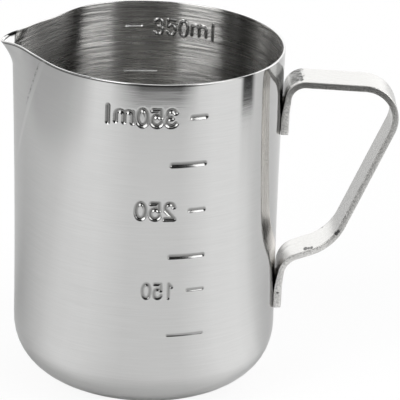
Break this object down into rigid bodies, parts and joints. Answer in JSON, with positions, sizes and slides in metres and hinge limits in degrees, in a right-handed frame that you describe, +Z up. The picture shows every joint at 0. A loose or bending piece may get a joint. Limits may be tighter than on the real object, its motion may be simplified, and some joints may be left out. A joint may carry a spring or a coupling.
{
  "type": "candle melting pot",
  "caption": "Small brushed steel pouring pot for melting wax: drawn round body with pressed volume marks, pinched pouring lip and a spot-welded bent strip handle.",
  "frame": {"origin": "centre of the flat face the pot rests on", "axes": "+Z up, +X towards the handle, -X towards the pouring lip, -Y the front face with the volume marks"},
  "size_m": [0.1109, 0.0736, 0.099],
  "materials": {
    "pot_steel": "fine circumferential brushing, glossy outside, coarser inside",
    "handle_steel": "satin polished strip with sheared edges",
    "weld_steel": "dull fused steel"
  },
  "bodies": {
    "root": {"pot_body": "pot_steel", "handle": "handle_steel", "upper_spot_weld_1": "weld_steel", "upper_spot_weld_2": "weld_steel", "lower_spot_weld_1": "weld_steel", "lower_spot_weld_2": "weld_steel"}
  },
  "joints": []
}
